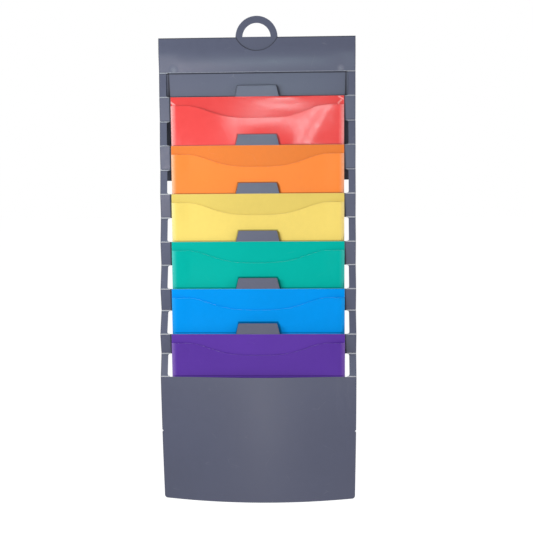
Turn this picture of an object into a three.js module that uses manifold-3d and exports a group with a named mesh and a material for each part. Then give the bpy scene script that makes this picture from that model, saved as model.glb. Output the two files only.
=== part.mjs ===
// A hanging pocket file folder, shown unfolded. One creased grey sheet runs from the back cover over
// the header and down through pairs of side strips and six dividers to a plain front panel. Each
// divider carries a coloured pocket, and a flat hanger slides out of the header.
// Millimetres. X is to the right, Y to the rear, Z up. The origin is the top of the hanger's eye.
import * as THREE from 'three';
import { mergeVertices } from 'three/addons/utils/BufferGeometryUtils.js';
import Module from 'manifold-3d';

const wasm = await Module();
wasm.setup();

// The grey sheet
const sheetWidth = 362;
const sheetThickness = 0.8;
const headerHeight = 63;
const coverHeight = 262;
const headerInnerGap = 2.1;
const edgeGap = 0.3;

// The side strips that join header, dividers and front panel
const stripWidth = 12.9;
const stripLength = 44.7;
const lastStripLength = 41.8;
const windowCornerRadius = 4;
const beadRadius = 0.6;
const foldClearance = 0.1;
const headerToFirstDivider = 6;

// The dividers, which lean back more from the third on, and of which the last two hang shorter
const dividerCount = 6;
const dividerHeight = 44.7;
const fifthDividerHeight = 42.3;
const lastDividerHeight = 39.3;
const leanStep = 2;
const uprightDividers = 2;
const tabHeight = 20;
const tabBaseWidth = 81;
const tabTopWidth = 72;
const tabCornerRadius = 2.6;
const tabRootDepth = 1;

// The coloured pockets
const pocketSideGap = 8.1;
const pocketHeight = 222;
const pocketThickness = 0.6;
const pocketInnerDepth = 5.2;
const pocketFoldWidth = 9;
const pocketBottomFold = 8;
const frontEdgeDrop = 16;
const scoopDepth = 23.5;
const scoopShoulderWidth = 20;
const scoopFlatnessShare = 1.6;
const pocketPassGap = 0.5;
const pocketColours = {
  red: 0xf75555, orange: 0xff9141, yellow: 0xf7e173, green: 0x00b9aa, blue: 0x0096f0, purple: 0x5f379b,
};

// The front panel, which bulges forward
const panelHeight = 235;
const panelTopBulge = 8;
const panelBottomBulge = 24;
const archShorteningShare = 4 / 3;
const panelCornerRadius = 5;
const notchDrop = 104;
const notchDepth = 2.2;
const notchHeight = 4;

// The hanger
const ringOuterRadius = 38.7;
const eyeRadius = 26;
const ringCentreDrop = 0.8;
const eyeFootRise = 1.2;
const hangerThickness = 1.2;
const shoulderReach = 16;
const shoulderHeight = 26.4;
const hangerCornerRadius = 3;
const lensDepth = 25;

// How finely the curves are cut
const arcSteps = 8;
const ringSteps = 24;
const foldSteps = 4;
const scoopSteps = 24;
const panelSteps = 20;
const panelRows = 6;
const beadSides = 12;
const sameSpot = 1e-4;

// Sizes that follow from the others
const halfWidth = sheetWidth / 2;
const stripInner = halfWidth - stripWidth;
const creaseInner = stripInner - windowCornerRadius;
const beadReach = beadRadius + edgeGap;
const foldOffset = sheetThickness / 2 + foldClearance;
const pocketWidth = 2 * (stripInner - pocketSideGap);
const pocketFlatHalf = pocketWidth / 2 - pocketFoldWidth;
const scoopHalfWidth = pocketFlatHalf - scoopShoulderWidth;
const backSheetFront = edgeGap + pocketThickness;
const frontSheetBack = backSheetFront + edgeGap;
const pocketFrontFace = frontSheetBack + pocketInnerDepth + pocketThickness;
const closePitch = pocketFrontFace + pocketPassGap + sheetThickness;
const foldOuterRadius = sheetThickness + headerInnerGap / 2;
const foldInnerRadius = headerInnerGap / 2;
const foldCentreZ = headerHeight - foldOuterRadius;
const hangerFront = sheetThickness + (headerInnerGap - hangerThickness) / 2;
const hangerMiddle = hangerFront + hangerThickness / 2;
const ringCentreZ = headerHeight - ringCentreDrop;
const eyeTopZ = ringCentreZ + eyeRadius;

const GREY = 0x6c7486;
const HANGER_GREY = 0x5f6679;

const group = new THREE.Group();
group.name = 'pocket_file_folder';
group.position.set(0, -hangerMiddle, -eyeTopZ);

// Adds one named piece with a material of its own.
function addPiece(name, geometry, colour) {
  const material = new THREE.MeshStandardMaterial({ color: colour, roughness: 0.5, side: THREE.FrontSide });
  const mesh = new THREE.Mesh(geometry, material);
  mesh.name = name;
  group.add(mesh);
}

// Turns a closed geometry into a solid for cutting and joining.
function toSolid(geometry) {
  const bare = geometry.clone();
  bare.deleteAttribute('normal');
  bare.deleteAttribute('uv');
  const merged = mergeVertices(bare);
  return new wasm.Manifold(new wasm.Mesh({
    numProp: 3,
    vertProperties: new Float32Array(merged.attributes.position.array),
    triVerts: new Uint32Array(merged.index.array),
  }));
}

function toGeometry(solid) {
  const mesh = solid.getMesh();
  const geometry = new THREE.BufferGeometry();
  geometry.setAttribute('position', new THREE.BufferAttribute(new Float32Array(mesh.vertProperties), 3));
  geometry.setIndex(new THREE.BufferAttribute(new Uint32Array(mesh.triVerts), 1));
  return geometry;
}

function joined(geometries) {
  return toGeometry(geometries.map(toSolid).reduce((whole, next) => whole.add(next)));
}

// The same piece for the left side.
function mirrored(geometry) {
  geometry.scale(-1, 1, 1);
  const index = geometry.getIndex();
  for (let corner = 0; corner < index.count; corner += 3) {
    const first = index.getX(corner);
    index.setX(corner, index.getX(corner + 1));
    index.setX(corner + 1, first);
  }
  return geometry;
}

// The points of an outline, without any that lie on the one before.
function distinct(path) {
  const points = path.getPoints(arcSteps);
  return points.filter((point, index) => (
    point.distanceTo(points[(index + points.length - 1) % points.length]) > sameSpot
  ));
}

function extruded(outline, depth) {
  const shape = new THREE.Shape(distinct(outline));
  shape.holes = outline.holes.map((hole) => new THREE.Path(distinct(hole)));
  return new THREE.ExtrudeGeometry(shape, { depth, bevelEnabled: false });
}

// A flat plate from an outline in X and Z. Its front face is at y = 0 and its back is behind it.
function plate(outline, thickness) {
  const geometry = extruded(outline, thickness);
  geometry.rotateX(Math.PI / 2);
  geometry.translate(0, thickness, 0);
  return geometry;
}

// An outline through the given corners.
function cornered(corners) {
  return new THREE.Shape(corners.map(([x, z]) => new THREE.Vector2(x, z)));
}

// A bar along X with a round section, centred on the given line.
function roundBar(from, to, y, z, radius) {
  const geometry = new THREE.CylinderGeometry(radius, radius, to - from, beadSides);
  geometry.rotateZ(Math.PI / 2);
  geometry.translate((from + to) / 2, y, z);
  return geometry;
}

function block(from, to) {
  const geometry = new THREE.BoxGeometry(to[0] - from[0], to[1] - from[1], to[2] - from[2]);
  geometry.translate((from[0] + to[0]) / 2, (from[1] + to[1]) / 2, (from[2] + to[2]) / 2);
  return geometry;
}

// A curved sheet between two faces, each given as rows of points from left to right and top to bottom.
function curvedSheet(frontRows, backRows) {
  const columns = frontRows[0].length;
  const rows = frontRows.length;
  const positions = [...frontRows.flat(), ...backRows.flat()].flat();
  const behind = rows * columns;
  const at = (row, column) => row * columns + column;
  const faces = [];
  for (let row = 0; row < rows - 1; row++) {
    for (let column = 0; column < columns - 1; column++) {
      const a = at(row, column);
      const b = at(row, column + 1);
      const c = at(row + 1, column + 1);
      const d = at(row + 1, column);
      faces.push(a, d, b, b, d, c);
      faces.push(behind + a, behind + b, behind + d, behind + b, behind + c, behind + d);
    }
  }
  const rim = [];
  for (let column = 0; column < columns - 1; column++) rim.push(at(rows - 1, column));
  for (let row = rows - 1; row > 0; row--) rim.push(at(row, columns - 1));
  for (let column = columns - 1; column > 0; column--) rim.push(at(0, column));
  for (let row = 0; row < rows - 1; row++) rim.push(at(row, 0));
  rim.forEach((p, index) => {
    const q = rim[(index + 1) % rim.length];
    faces.push(q, p, behind + p, q, behind + p, behind + q);
  });
  const geometry = new THREE.BufferGeometry();
  geometry.setAttribute('position', new THREE.BufferAttribute(new Float32Array(positions), 3));
  geometry.setIndex(faces);
  return geometry;
}

// Where each divider hangs: its top front edge, how far its foot is set back, and its height.
function layOut() {
  const heights = Array(dividerCount).fill(dividerHeight);
  heights[dividerCount - 2] = fifthDividerHeight;
  heights[dividerCount - 1] = lastDividerHeight;
  const places = [];
  let hinge = { y: -foldOffset, z: 0 };
  let face = 0;
  for (let index = 0; index <= dividerCount; index++) {
    const last = index === dividerCount;
    const setBack = last ? 0 : Math.max(0, index + 1 - uprightDividers) * leanStep;
    face -= index === 0 ? headerToFirstDivider : closePitch + setBack;
    const lean = last ? 0 : Math.asin(setBack / heights[index]);
    const foot = { y: face + sheetThickness * Math.cos(lean) + foldOffset * Math.cos(lean) };
    const forward = hinge.y - foot.y;
    const length = last ? lastStripLength : stripLength;
    foot.z = hinge.z - Math.sqrt(length ** 2 - forward ** 2);
    const top = foot.z - (sheetThickness + foldOffset) * Math.sin(lean);
    const height = last ? 0 : heights[index];
    places.push({ index, face, top, lean, height, length, stripTop: hinge, stripFoot: foot });
    hinge = {
      y: face - foldOffset * Math.cos(lean) + setBack,
      z: top - foldOffset * Math.sin(lean) - height * Math.cos(lean),
    };
  }
  return places;
}

// The flat hanger: a half ring with an eye, on a wide foot that stays inside the header.
function hanger() {
  const shoulderZ = foldCentreZ + edgeGap;
  const footZ = shoulderZ - shoulderHeight;
  const reach = ringOuterRadius + shoulderReach;
  const turn = hangerCornerRadius;
  const outline = new THREE.Shape();
  outline.moveTo(-reach + turn, footZ);
  outline.lineTo(reach - turn, footZ);
  outline.absarc(reach - turn, footZ + turn, turn, -Math.PI / 2, 0);
  outline.lineTo(reach, shoulderZ);
  outline.lineTo(ringOuterRadius, shoulderZ);
  for (let step = 0; step <= ringSteps; step++) {
    const angle = Math.PI * step / ringSteps;
    outline.lineTo(ringOuterRadius * Math.cos(angle), ringCentreZ + ringOuterRadius * Math.sin(angle));
  }
  outline.lineTo(-ringOuterRadius, shoulderZ);
  outline.lineTo(-reach, shoulderZ);
  outline.lineTo(-reach, footZ + turn);
  outline.absarc(-reach + turn, footZ + turn, turn, Math.PI, 3 * Math.PI / 2);
  const eye = new THREE.Path();
  const footAngle = Math.asin(eyeFootRise / eyeRadius);
  for (let step = 0; step <= ringSteps; step++) {
    const angle = footAngle + (Math.PI - 2 * footAngle) * step / ringSteps;
    const corner = [eyeRadius * Math.cos(angle), ringCentreZ + eyeRadius * Math.sin(angle)];
    if (step === 0) eye.moveTo(...corner);
    else eye.lineTo(...corner);
  }
  outline.holes.push(eye);
  const geometry = plate(outline, hangerThickness);
  geometry.translate(0, hangerFront, 0);
  return geometry;
}

// The back cover, turned over at the top into the header, with a scooped slot for the hanger.
function backCover() {
  const outline = new THREE.Shape();
  outline.moveTo(0, 0);
  outline.lineTo(sheetThickness, 0);
  outline.lineTo(sheetThickness, foldCentreZ);
  outline.absarc(foldOuterRadius, foldCentreZ, foldInnerRadius, Math.PI, 0, true);
  outline.lineTo(2 * foldOuterRadius - sheetThickness, headerHeight - coverHeight);
  outline.lineTo(2 * foldOuterRadius, headerHeight - coverHeight);
  outline.lineTo(2 * foldOuterRadius, foldCentreZ);
  outline.absarc(foldOuterRadius, foldCentreZ, foldOuterRadius, 0, Math.PI);
  const sheet = extruded(outline, sheetWidth);
  sheet.applyMatrix4(new THREE.Matrix4().makeBasis(
    new THREE.Vector3(0, 1, 0), new THREE.Vector3(0, 0, 1), new THREE.Vector3(1, 0, 0),
  ));
  sheet.translate(-halfWidth, 0, 0);

  const chord = ringOuterRadius + edgeGap;
  const lensRadius = (chord ** 2 + lensDepth ** 2) / (2 * lensDepth);
  const slotBack = hangerFront + hangerThickness + hangerFront - sheetThickness;
  const lens = new THREE.CylinderGeometry(lensRadius, lensRadius, slotBack + sheetThickness, 4 * ringSteps);
  lens.translate(0, (slotBack - sheetThickness) / 2, headerHeight - lensDepth + lensRadius);

  const slot = block([-chord, hangerFront - edgeGap, foldCentreZ], [chord, slotBack, headerHeight + sheetThickness]);
  let cover = toSolid(sheet).subtract(toSolid(lens)).subtract(toSolid(slot));
  for (const side of [-1, 1]) {
    const inner = side * (creaseInner - edgeGap);
    const outer = side * (halfWidth + sheetThickness);
    const from = [Math.min(inner, outer), -sheetThickness, -beadReach];
    const to = [Math.max(inner, outer), sheetThickness + foldInnerRadius, beadReach];
    cover = cover.subtract(toSolid(block(from, to)));
  }
  return toGeometry(cover);
}

// One side strip with a thin bead along each crease, so that it can turn at both ends.
function sideStrip(place, side) {
  const { stripTop, stripFoot, length } = place;
  const corner = windowCornerRadius;
  const outline = new THREE.Shape();
  outline.moveTo(halfWidth, 0);
  outline.lineTo(creaseInner, 0);
  outline.absarc(creaseInner, -corner, corner, Math.PI / 2, 0, true);
  outline.lineTo(stripInner, corner - length);
  outline.absarc(creaseInner, corner - length, corner, 0, -Math.PI / 2, true);
  outline.lineTo(halfWidth, -length);
  const sheet = plate(outline, sheetThickness);
  sheet.translate(0, -sheetThickness / 2, 0);
  const geometry = joined([
    sheet,
    roundBar(creaseInner, halfWidth, 0, 0, beadRadius),
    roundBar(creaseInner, halfWidth, 0, -length, beadRadius),
  ]);
  geometry.rotateX(-Math.asin((stripTop.y - stripFoot.y) / length));
  geometry.translate(0, stripTop.y, stripTop.z);
  return side < 0 ? mirrored(geometry) : geometry;
}

// One divider with its centre tab. Its ends stop short of the beads on the strips.
function divider(place) {
  const { face, top, lean, height } = place;
  const ear = creaseInner - edgeGap;
  const sheet = plate(cornered([
    [-ear, -height], [ear, -height], [ear, beadReach - height], [halfWidth, beadReach - height],
    [halfWidth, -beadReach], [ear, -beadReach], [ear, 0],
    [-ear, 0], [-ear, -beadReach], [-halfWidth, -beadReach],
    [-halfWidth, beadReach - height], [-ear, beadReach - height],
  ]), sheetThickness);
  sheet.rotateX(lean);
  const turn = tabCornerRadius;
  const outline = new THREE.Shape();
  outline.moveTo(-tabBaseWidth / 2, -tabRootDepth);
  outline.lineTo(tabBaseWidth / 2, -tabRootDepth);
  outline.lineTo(tabTopWidth / 2, tabHeight - turn);
  outline.absarc(tabTopWidth / 2 - turn, tabHeight - turn, turn, 0, Math.PI / 2);
  outline.absarc(turn - tabTopWidth / 2, tabHeight - turn, turn, Math.PI / 2, Math.PI);
  const geometry = joined([sheet, plate(outline, sheetThickness)]);
  geometry.translate(0, face, top);
  return geometry;
}

// The back sheet of a pocket, which lies on the front of its divider.
function pocketBack(place) {
  const half = pocketWidth / 2;
  const sheet = plate(cornered([[-half, -pocketHeight], [half, -pocketHeight], [half, 0], [-half, 0]]), pocketThickness);
  sheet.translate(0, place.face - backSheetFront, place.top);
  return sheet;
}

// How far below the pocket's top the front sheet starts, at a place across the pocket.
function scoopDrop(x) {
  const across = Math.min(1, Math.abs(x) / scoopHalfWidth);
  return frontEdgeDrop + scoopDepth * (1 + Math.cos(Math.PI * across ** scoopFlatnessShare)) / 2;
}

// The front sheet of a pocket, folded back to the back sheet along both sides and the bottom.
function pocketFront(place) {
  const half = pocketWidth / 2;
  const columns = [];
  for (let step = 0; step < foldSteps; step++) {
    const share = step / foldSteps;
    columns.push({ x: half - pocketFoldWidth * share, rise: Math.sin(Math.PI / 2 * share) });
  }
  const left = columns.map((column) => ({ ...column, x: -column.x }));
  const middle = [];
  for (let step = 0; step <= scoopSteps; step++) {
    middle.push({ x: pocketFlatHalf * (2 * step / scoopSteps - 1), rise: 1 });
  }
  const across = [...left, ...middle, ...columns.reverse()];
  const down = [{ top: true, rise: 1 }];
  for (let step = foldSteps; step >= 0; step--) {
    const share = step / foldSteps;
    down.push({ drop: pocketHeight - pocketBottomFold * share, rise: Math.sin(Math.PI / 2 * share) });
  }
  const rows = (thickness) => down.map((row) => across.map((column) => [
    column.x,
    place.face - frontSheetBack - pocketInnerDepth * column.rise * row.rise - thickness,
    place.top - (row.top ? scoopDrop(column.x) : row.drop),
  ]));
  return curvedSheet(rows(pocketThickness), rows(0));
}

// How far the panel's side edge is drawn in at a distance below the panel's top.
function panelEdgeInset(drop) {
  const toFoot = panelHeight - drop;
  if (toFoot < panelCornerRadius) {
    return panelCornerRadius - Math.sqrt(panelCornerRadius ** 2 - (panelCornerRadius - toFoot) ** 2);
  }
  return Math.abs(drop - notchDrop) < notchHeight / 4 ? notchDepth : 0;
}

// The front panel: flat along its crease, bulging forward more and more to its foot.
function frontPanel(place) {
  const drops = [beadReach];
  for (let row = 1; row < panelRows; row++) drops.push(panelHeight * row / panelRows);
  drops.push(notchDrop - notchHeight / 2, notchDrop, notchDrop + notchHeight / 2);
  for (let step = 0; step <= foldSteps; step++) {
    drops.push(panelHeight - panelCornerRadius * (1 - Math.sin(Math.PI / 2 * step / foldSteps)));
  }
  drops.sort((a, b) => a - b);
  const shares = [];
  for (let step = 0; step <= panelSteps; step++) shares.push(2 * step / panelSteps - 1);
  const shape = (share, drop) => {
    const fall = drop / panelHeight;
    const creased = Math.max(0, 1 - (share * halfWidth / creaseInner) ** 2) ** 2;
    const arched = 1 - share ** 2;
    return panelTopBulge * creased * (1 - fall) + panelBottomBulge * arched * fall;
  };
  const rows = (behind) => drops.map((drop) => shares.map((column) => {
    const fall = drop / panelHeight;
    const reach = halfWidth - archShorteningShare * (panelBottomBulge * fall) ** 2 / sheetWidth;
    const edgeShare = 1 - panelEdgeInset(drop) / reach;
    const share = Math.max(-edgeShare, Math.min(edgeShare, column));
    return [share * reach, place.face - shape(share, drop) + behind, place.top - drop];
  }));
  return curvedSheet(rows(0), rows(sheetThickness));
}

const places = layOut();
addPiece('hanger', hanger(), HANGER_GREY);
addPiece('back_cover', backCover(), GREY);
for (const place of places) {
  addPiece(`side_strip_${place.index + 1}_left`, sideStrip(place, -1), GREY);
  addPiece(`side_strip_${place.index + 1}_right`, sideStrip(place, 1), GREY);
}
Object.entries(pocketColours).forEach(([colour, value], index) => {
  addPiece(`divider_${index + 1}`, divider(places[index]), GREY);
  addPiece(`${colour}_pocket_back`, pocketBack(places[index]), value);
  addPiece(`${colour}_pocket_front`, pocketFront(places[index]), value);
});
addPiece('front_panel', frontPanel(places[dividerCount]), GREY);

export default group;
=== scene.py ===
import math

import bmesh
import bpy
from mathutils import Matrix, Vector


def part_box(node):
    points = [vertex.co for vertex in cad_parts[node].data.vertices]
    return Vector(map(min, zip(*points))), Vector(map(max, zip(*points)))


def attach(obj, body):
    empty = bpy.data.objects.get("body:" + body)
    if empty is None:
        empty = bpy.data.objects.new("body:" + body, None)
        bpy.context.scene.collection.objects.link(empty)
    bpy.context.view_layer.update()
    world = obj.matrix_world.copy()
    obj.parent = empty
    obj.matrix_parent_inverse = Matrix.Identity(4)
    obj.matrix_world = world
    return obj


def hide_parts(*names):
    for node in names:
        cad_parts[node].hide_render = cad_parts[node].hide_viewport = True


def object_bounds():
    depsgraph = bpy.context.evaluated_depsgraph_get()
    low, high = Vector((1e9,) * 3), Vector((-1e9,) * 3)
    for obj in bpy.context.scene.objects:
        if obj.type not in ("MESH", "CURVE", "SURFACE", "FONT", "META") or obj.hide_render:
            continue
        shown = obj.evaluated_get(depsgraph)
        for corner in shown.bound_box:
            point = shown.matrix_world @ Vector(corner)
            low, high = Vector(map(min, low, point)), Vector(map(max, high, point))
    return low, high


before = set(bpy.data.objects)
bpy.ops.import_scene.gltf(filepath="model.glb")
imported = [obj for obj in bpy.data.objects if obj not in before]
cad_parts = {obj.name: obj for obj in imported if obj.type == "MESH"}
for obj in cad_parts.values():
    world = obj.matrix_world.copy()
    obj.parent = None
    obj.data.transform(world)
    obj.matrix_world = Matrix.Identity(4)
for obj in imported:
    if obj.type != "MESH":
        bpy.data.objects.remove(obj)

# The hanging organizer in metres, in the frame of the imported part: X across, -Y to the viewer, Z up.
cad_box = [list(corner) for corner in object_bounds()]
MILLIMETRE = 0.001
COLOURS = ("red", "orange", "yellow", "green", "blue", "purple")
WINDOWS = len(COLOURS) + 1

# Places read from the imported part. Windows, dividers and pockets are counted from the top.
HALF_WIDTH, COVER_BACK, HEADER_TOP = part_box("back_cover")[1]
STRIP_TOPS = [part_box(f"side_strip_{n}_left")[1].z for n in range(1, WINDOWS + 1)]
STRIP_FEET = [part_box(f"side_strip_{n}_left")[0].z for n in range(1, WINDOWS + 1)]
STRIP_INNER = -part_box("side_strip_1_left")[1].x
TAB_TOPS = [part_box(f"divider_{n}")[1].z for n in range(1, WINDOWS)]
POCKET_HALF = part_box("red_pocket_front")[1].x

# The creases at the top and the foot of the strips, as the middles of their beads.
BEAD_RADIUS = 0.6 * MILLIMETRE
UPPER_CREASES = [top - BEAD_RADIUS for top in STRIP_TOPS]
LOWER_CREASES = [foot + BEAD_RADIUS for foot in STRIP_FEET]
HEADER_FOOT = UPPER_CREASES[0]

# The header's scooped slot, whose edge casts a shadow that is painted as a dark arc on the hanger.
SCOOP_HALF = 38.7 * MILLIMETRE
SCOOP_DEPTH = 25 * MILLIMETRE
SCOOP_RADIUS = (SCOOP_HALF ** 2 + SCOOP_DEPTH ** 2) / (2 * SCOOP_DEPTH)

# Camera, fitted to the photograph.
IMAGE_SIZE = 533
FOCAL_PIXELS = 961.2
SENSOR_WIDTH = 36.0
CAMERA_RIGHT = 0.0930
CAMERA_FORWARD = -1.80185
CAMERA_BELOW_HEADER = 0.1608
CAMERA_PITCH = math.radians(8.34)
CAMERA_ROLL = math.radians(-0.59)
CAMERA_YAW = math.radians(-2.51)

# Lights: name, place, aim, power in watts, width, height, colour.
LIGHTS = (
    ("left_light", (-0.68, -0.64, -0.14), (-0.02, 0.0, -0.22), 5.0, 0.36, 0.36, (0.88, 0.99, 1.0)),
    ("front_light", (0.0, -1.40, -0.19), (0.0, 0.0, -0.30), 1.9, 0.17, 0.17, (0.70, 0.97, 1.0)),
    ("low_front_light", (-0.42, -1.40, -0.40), (0.0, 0.0, -0.34), 3.2, 0.2, 0.2, (1.0, 0.88, 0.90)),
    ("right_front_light", (0.70, -1.20, -0.20), (0.0, 0.0, -0.34), 1.9, 0.6, 0.6, (1.0, 0.94, 0.93)),
    ("right_light", (1.10, -0.55, -0.28), (0.0, 0.0, -0.33), 3.9, 0.3, 0.7, (1.0, 0.94, 0.97)),
    ("foot_light", (0.0, -1.30, -0.86), (0.0, 0.0, -0.66), 0.85, 0.3, 0.2, (1.0, 0.95, 0.88)),
)
WORLD_LIGHT = 0.33

# Stage. Where the camera sees the floor, its own light and the world's add up to white.
FLOOR_DROP = 0.34
FLOOR_HALF = 9.0
FLOOR_SHADE = 0.86
FLOOR_WHITE = 1.004
FLOOR_GLOW = FLOOR_WHITE - FLOOR_SHADE * WORLD_LIGHT

# Sheet colours, linear.
WHITE = (1, 1, 1, 1)
GREY = (0.066, 0.073, 0.122, 1)
HANGER_GREY = (0.076, 0.082, 0.128, 1)
STRESS_WHITE = (0.55, 0.57, 0.61, 1)
FRONT_COLOURS = {
    "red": (0.80, 0.051, 0.048, 1),
    "orange": (0.95, 0.246, 0.041, 1),
    "yellow": (0.86, 0.645, 0.152, 1),
    "green": (0.001, 0.418, 0.347, 1),
    "blue": (0.001, 0.288, 0.81, 1),
    "purple": (0.100, 0.034, 0.320, 1),
}
# The pale tone of the highlight painted on the folded bands at the sides of each pocket. It is also the
# colour of the front sheets' scuffs, and the base of the back sheets' scuffs and white creases and of the
# scoop rims.
BAND_HIGHLIGHT_AND_SCUFF_COLOURS = {
    "red": (1.0, 0.50, 0.48, 1),
    "orange": (1.0, 0.60, 0.40, 1),
    "yellow": (0.97, 0.82, 0.38, 1),
    "green": (0.10, 0.58, 0.52, 1),
    "blue": (0.03, 0.36, 0.84, 1),
    "purple": (0.27, 0.16, 0.50, 1),
}
# How bright each back sheet is painted, as a share of its front sheet: shaded copies of the front colour,
# and a lighter one for purple.
BACK_SHADE_SHARE = {"red": 0.95, "orange": 0.84, "yellow": 0.88, "green": 1.0, "blue": 1.0, "purple": 1.08}
# How far each rim, and the back sheets' white creases, go from their colour to white.
GREY_RIM_PALENESS = 0.10
HANGER_RIM_PALENESS = 0.06
POCKET_RIM_PALENESS = 0.28
SCOOP_RIM_PALENESS = 0.35
BACK_CREASE_PALENESS = 0.2

# Finishes: the grain is the strength of its bump, and the whitening that of the white creases, and on the
# pockets' front sheets that of the highlight painted on the folded bands.
GREY_FINISH = {"roughness": 0.35, "grain": 0.35, "whitening": 0.80, "gloss": 0.52}
HANGER_FINISH = {"roughness": 0.42, "grain": 0.35, "whitening": 0.4, "gloss": 0.30}
POCKET_GRAIN = 0.25
POCKET_GLOSS = {"red": 0.30, "orange": 0.10, "yellow": 0.06, "green": 0.02, "blue": 0.02, "purple": 0.08}
POCKET_ROUGHNESS = {"red": 0.17}
USUAL_ROUGHNESS = 0.34
FRONT_BAND_HIGHLIGHT = 1.0
BACK_WHITENING = 0.8
PLASTIC_IOR = 1.49

# Noises: scale in waves per metre, detail and roughness. A stretch is a scale for each axis.
BROAD_NOISE = (7.0, 2.0, 0.5)
MOTTLE_NOISE = (95.0, 4.0, 0.6)
FLECK_NOISE = (1500.0, 2.0, 0.5)
ROLLED_STRETCH = (700.0, 700.0, 26.0)
ROLLED_NOISE = (1.0, 3.0, 0.65)
SCRATCH_STRETCH = (16.0, 16.0, 38.0)
SCRATCH_GROUP_NOISE = (34.0, 3.0, 0.5)
BREAK_NOISE = (420.0, 4.0, 0.7)
WAVE_NOISE = (11.0, 1.0, 0.5)
CUT_STRETCH = (900.0, 4200.0, 900.0)
CUT_NOISE = (1.0, 2.0, 0.5)
PATCH_NOISE = (160.0, 3.0, 0.5)

# Sheet faces: the range in which each noise shows, and what it does to colour, roughness and height.
BROAD_RANGE = (0.3, 0.7)
BROAD_SHADES = (0.965, 1.035)
MOTTLE_RANGE = (0.35, 0.65)
MOTTLE_SHADE = 1.22
MOTTLE_SHARE = 0.10
FLECK_RANGE = (0.40, 0.62)
FLECK_SHADE = 0.72
FLECK_SHARE = 0.10
SCRATCH_RANGE = (0.0, 0.012)
SCRATCH_GROUP_RANGE = (0.58, 0.72)
SCRATCH_SHARE = 0.10
BREAK_RANGE = (0.30, 0.62)
BREAK_SHARES = (0.45, 1.0)
# Painted shade lines: their tone and share, also used for the arc on the hanger.
PAINTED_SHADE_TONE = 0.12
PAINTED_SHADE_SHARE = 0.9
ARC_WIDTH = 2.0 * MILLIMETRE
ARC_SHARE = 0.95
FLECK_IN_ROUGHNESS = 0.4
ROUGHNESS_RANGE = (0.45, 0.95)
ROUGHNESS_SPREAD = (-0.045, 0.055)
SCRATCH_ROUGHNESS = 0.12
# How much rougher the painted shade lines make the surface.
PAINTED_SHADE_ROUGHNESS = 0.45
WEAR_ROUGHNESS = 0.45
WEAR_SPREAD = 0.4
FLECK_HEIGHT = 0.5
ROLLED_HEIGHT = 0.6
SCRATCH_HEIGHT = -0.5
GRAIN_DEPTH = 0.06 * MILLIMETRE
WAVE_STRENGTH = 0.12
WAVE_DEPTH = 1.6 * MILLIMETRE

# Sheet rims: the same for their patches and cutting lines.
PATCH_RANGE = (0.35, 0.65)
PATCH_SHADES = (0.9, 1.15)
CUT_RANGE = (0.4, 0.7)
CUT_SHARE = 0.25
CUT_STRENGTH = 0.35
CUT_DEPTH = 0.05 * MILLIMETRE
RIM_ROUGHNESS_RANGE = (0.3, 0.7)
RIM_ROUGHNESS = (0.46, 0.60)
RIM_GLOSS = 0.3

# Making of the finer pieces. Their first material is the face's, and the second the rim's.
GRID_STEP = 9 * MILLIMETRE
FINE_STEP = 5 * MILLIMETRE
RIM_WIDTH = 0.16 * MILLIMETRE
POCKET_RIM_WIDTH = 0.28 * MILLIMETRE
HANGER_RIM_WIDTH = 0.3 * MILLIMETRE
RIM_SEGMENTS = 2
SAME_POINT = 1e-6
FLAT_ANGLE = math.radians(0.4)
SMOOTH_ANGLE = math.radians(35)
RIM_ANGLE = math.radians(50)
RIM_FACING = 0.6
FACE_INDEX = 0
RIM_INDEX = 1
X_AXIS = 0
Z_AXIS = 2

# Whitening of the creases. Those lower down have whitened less.
CREASE_REACH = 0.5 * MILLIMETRE
WEAR_REACH = 1.3 * MILLIMETRE
CORNER_RADIUS = 4 * MILLIMETRE
HEADER_MIDDLE_WEAR = 0.5
LOW_CREASES = (0.25, 0.45)
LOW_CREASE_LOSS = 0.4

# Node trees. The numbers are the sockets of a mix node that mixes colours.
NODE_SPACING = 190
MIX_INPUTS = (0, 6, 7)
MIX_RESULT = 2


# Materials

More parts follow.
